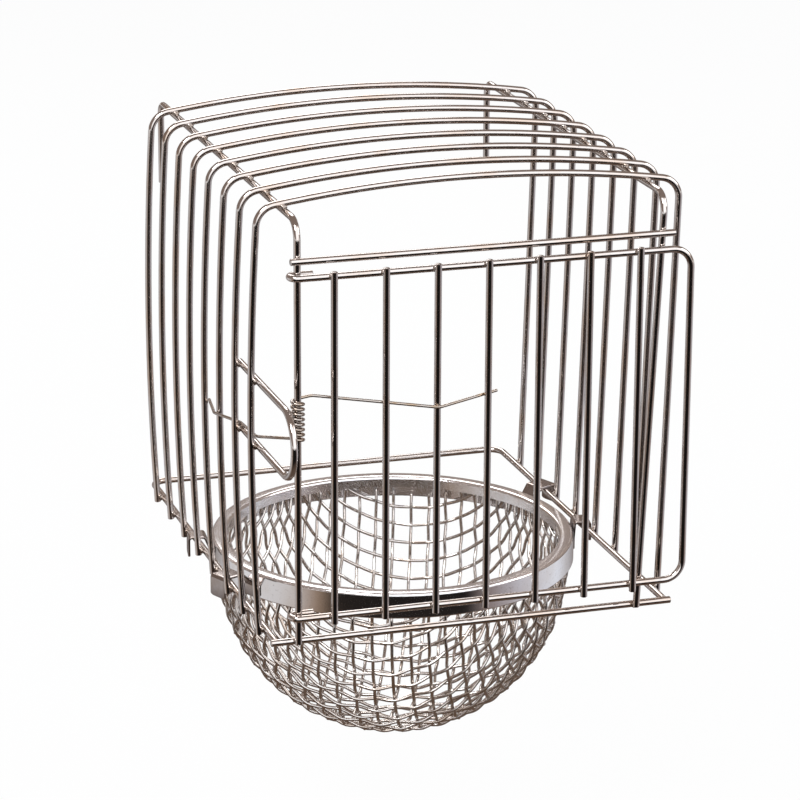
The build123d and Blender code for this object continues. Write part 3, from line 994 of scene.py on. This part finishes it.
# %% Floor
FLOOR_SIZE = 8.0
STAGE_Z = -0.205
PAPER_GLOW = 0.95
PAPER_DIM, PAPER_BRIGHT = (0.86, 0.86, 0.86, 1), (0.9, 0.9, 0.9, 1)
FIBRE_SCALE = 40.0
mesh = bmesh.new()
bmesh.ops.create_grid(mesh, x_segments=8, y_segments=8, size=FLOOR_SIZE / 2)
for vertex in mesh.verts:
    vertex.co.z = STAGE_Z
paper = bpy.data.materials.new("white_paper")
paper.use_nodes = True
finish = Finish(paper.node_tree)
seen = finish.either(finish.either(finish.ray("Camera"), finish.ray("Glossy")), finish.ray("Transmission"))
place = finish.node("TexCoord", out="Object")
fibre = finish.node("TexNoise", None, {"Vector": place, "Scale": FIBRE_SCALE})
matt = finish.node("BsdfDiffuse", None, {"Color": finish.mixed(fibre, PAPER_DIM, PAPER_BRIGHT)})
glow = finish.node("Emission", None, {"Color": (1, 1, 1, 1), "Strength": 1.0})
sheet = finish.node("MixShader", None, {0: seen * PAPER_GLOW, 1: matt, 2: glow})
finish.node("OutputMaterial", None, {"Surface": sheet})
floor = finish_piece(mesh, "paper_floor", paper)
print("floor at", STAGE_Z)

# %% [markdown]
# ## What the wire mirrors
# Plated wire shows its surroundings more than itself, and in an all-white room it would vanish. So a glowing
# cloth of painted reflections lies round the nest, black ahead of it and grey at its sides, as a dark cloth
# would be laid just outside the picture. An upright wire mirrors it and gets a painted dark core between two
# grey edges. The painted reflection is a glowing colour on the cloth's points, chosen by the angle round the
# nest, and only mirrors can see the cloth.

# %% Painted reflection by the angle round the nest
# Glowing colours of the painted reflection round the nest: black ahead, grey and white at the sides.
CLOTH_REFLECTION_GLOW = [
    (-180, (0.14, 0.11, 0.10)),
    (-140, (0.34, 0.31, 0.30)),
    (-105, (0.76, 0.76, 0.78)),
    (-62, (0.60, 0.56, 0.54)),
    (-46, (0.30, 0.21, 0.15)),
    (-34, (0.012, 0.010, 0.009)),
    (46, (0.010, 0.009, 0.009)),
    (60, (0.26, 0.21, 0.20)),
    (84, (0.58, 0.56, 0.60)),
    (120, (0.78, 0.79, 0.84)),
    (150, (0.34, 0.31, 0.31)),
    (180, (0.14, 0.11, 0.10)),
]
to_viewer = Vector((-ahead.x, -ahead.y, 0)).normalized()
to_right = Vector((right.x, right.y, 0)).normalized()


def reflection_glow_at(angle):
    """Glowing colour of the cloth, a painted reflection, at an angle to the viewer's right, in degrees."""
    for (start, first), (end, second) in zip(CLOTH_REFLECTION_GLOW, CLOTH_REFLECTION_GLOW[1:]):
        if angle <= end:
            return Vector(first).lerp(Vector(second), (angle - start) / (end - start))
    return Vector(CLOTH_REFLECTION_GLOW[-1][1])


print("dye straight ahead:", [round(part, 3) for part in reflection_glow_at(0)])

# %% Glowing cloth of painted reflections
CLOTH_NEAR, CLOTH_FAR = 0.005, 1.7
CLOTH_FADE = 0.12
CLOTH_LIFT = 0.001
CLOTH_RINGS, CLOTH_SPOKES = 36, 144
# Close round the nest the cloth is a dark brown mat: painted shade, the shaded table under the bowl as the
# low wires mirror it.
MAT_REACH, MAT_FADE = 0.13, 0.12
MAT_PAINTED_SHADE = Vector((0.15, 0.105, 0.08))
LOOK_AT = Vector((0.0, -0.07, -0.075))
mesh = bmesh.new()
painted_reflection = []
loops = []
for ring in range(CLOTH_RINGS + 1):
    share = ring / CLOTH_RINGS
    cover = min(1 - share, CLOTH_FADE) / CLOTH_FADE
    reach = CLOTH_NEAR + (CLOTH_FAR - CLOTH_NEAR) * share
    beyond = min(max((reach - MAT_REACH) / MAT_FADE, 0), 1)
    loop = []
    for spoke in range(CLOTH_SPOKES):
        angle = 360 * spoke / CLOTH_SPOKES - 180
        place = LOOK_AT + (to_viewer * cos(radians(angle)) + to_right * sin(radians(angle))) * reach
        loop.append(mesh.verts.new((place.x, place.y, STAGE_Z + CLOTH_LIFT)))
        # Near the nest the painted shade of the mat, farther out the painted reflection of the cloth.
        painted_reflection += [*MAT_PAINTED_SHADE.lerp(reflection_glow_at(angle), beyond), cover]
    loops.append(loop)
for first, second in zip(loops, loops[1:]):
    for spoke in range(CLOTH_SPOKES):
        after = (spoke + 1) % CLOTH_SPOKES
        mesh.faces.new((first[spoke], first[after], second[after], second[spoke]))
print("cloth from", CLOTH_NEAR, "to", CLOTH_FAR, "m,", len(mesh.faces), "faces")

# %% Glow of the cloth, a painted reflection
painted_reflection_sheet = bpy.data.materials.new("painted_reflection_cloth")
painted_reflection_sheet.use_nodes = True
finish = Finish(painted_reflection_sheet.node_tree)
colour = finish.node("Attribute", {"attribute_name": "painted_reflection"})
cover = finish.node("Attribute", {"attribute_name": "painted_reflection"}, out="Alpha")
# The cloth's own colour is black; what mirrors see is its glow, a painted reflection.
matt = finish.node("BsdfPrincipled", None, {
    "Base Color": (0.0, 0.0, 0.0, 1), "Roughness": 1.0, "Specular IOR Level": 0.0,
    "Emission Color": colour, "Emission Strength": 1.0,
})
clear = finish.node("BsdfTransparent")
edge = finish.node("MixShader", None, {0: cover, 1: clear, 2: matt})
finish.node("OutputMaterial", None, {"Surface": edge})
ground_cloth = finish_piece(mesh, "ground_cloth", painted_reflection_sheet)
ground_cloth.data.attributes.new("painted_reflection", "FLOAT_COLOR", "POINT").data.foreach_set("color", painted_reflection)
ground_cloth.visible_camera = False
ground_cloth.visible_diffuse = False
ground_cloth.visible_shadow = False
print("only mirrors see", ground_cloth.name)

# %% [markdown]
# ## The room
# A level wire mirrors the room ahead of it: a lit wall as its white core, and a dim ceiling as the brown
# line along its top. The wall is a bright patch of the world round one direction, with a soft edge. The
# camera sees plain white, and matt surfaces get a weak even light.

# %% World
LIT_WALL_SIDE, LIT_WALL_HEIGHT = radians(25), radians(20)
LIT_WALL_EDGE = (0.62, 0.80)
LIT_WALL = (1.75, 1.75, 1.78, 1)
DIM_CEILING = (0.30, 0.24, 0.21, 1)
FILL_COLOUR = (0.92, 0.95, 1.0, 1)
FILL_STRENGTH = 0.45
wall_way = to_viewer * cos(LIT_WALL_SIDE) + to_right * sin(LIT_WALL_SIDE)
lit_wall = wall_way * cos(LIT_WALL_HEIGHT) + Vector((0, 0, sin(LIT_WALL_HEIGHT)))
world = bpy.data.worlds.new("studio")
bpy.context.scene.world = world
world.use_nodes = True
finish = Finish(world.node_tree)
direction = finish.node("TexCoord", out="Generated")
product = {"operation": "DOT_PRODUCT"}
ahead_share = finish.node("VectorMath", product, {0: direction, 1: lit_wall}, out="Value")
room = finish.mixed(finish.stretched(ahead_share, *LIT_WALL_EDGE), DIM_CEILING, LIT_WALL)
clear = finish.either(finish.ray("Camera"), finish.ray("Transmission"))
seen_colour = finish.mixed(clear, room, (1, 1, 1, 1))
mask = finish.either(clear, finish.ray("Glossy"))
fill = finish.node("Background", None, {"Color": FILL_COLOUR, "Strength": FILL_STRENGTH})
shown = finish.node("Background", None, {"Color": seen_colour, "Strength": 1.0})
both = finish.node("MixShader", None, {0: mask, 1: fill, 2: shown})
finish.node("OutputWorld", None, {"Surface": both})
print("lit wall towards", [round(part, 2) for part in lit_wall])

# %% [markdown]
# ## Lamps
# Three soft lamps add the glints: a key from the left, a weak one from the right, and one from behind that
# parts the rear hoops from the white. They stay weak, because a mirror takes most of its light from the room.


# %% Lamps
def soft_lamp(name, place, size, power):
    data = bpy.data.lights.new(name, "AREA")
    data.shape = "DISK"
    data.size = size
    data.energy = power
    lamp = bpy.data.objects.new(name, data)
    lamp.location = place
    lamp.rotation_euler = (LOOK_AT - Vector(place)).to_track_quat("-Z", "Y").to_euler()
    bpy.context.scene.collection.objects.link(lamp)


soft_lamp("key_lamp", (-0.55, -0.55, 0.75), 0.45, 6.0)
soft_lamp("fill_lamp", (0.75, -0.35, 0.35), 0.5, 2.0)
soft_lamp("rear_lamp", (0.1, 0.8, 0.6), 0.6, 4.0)
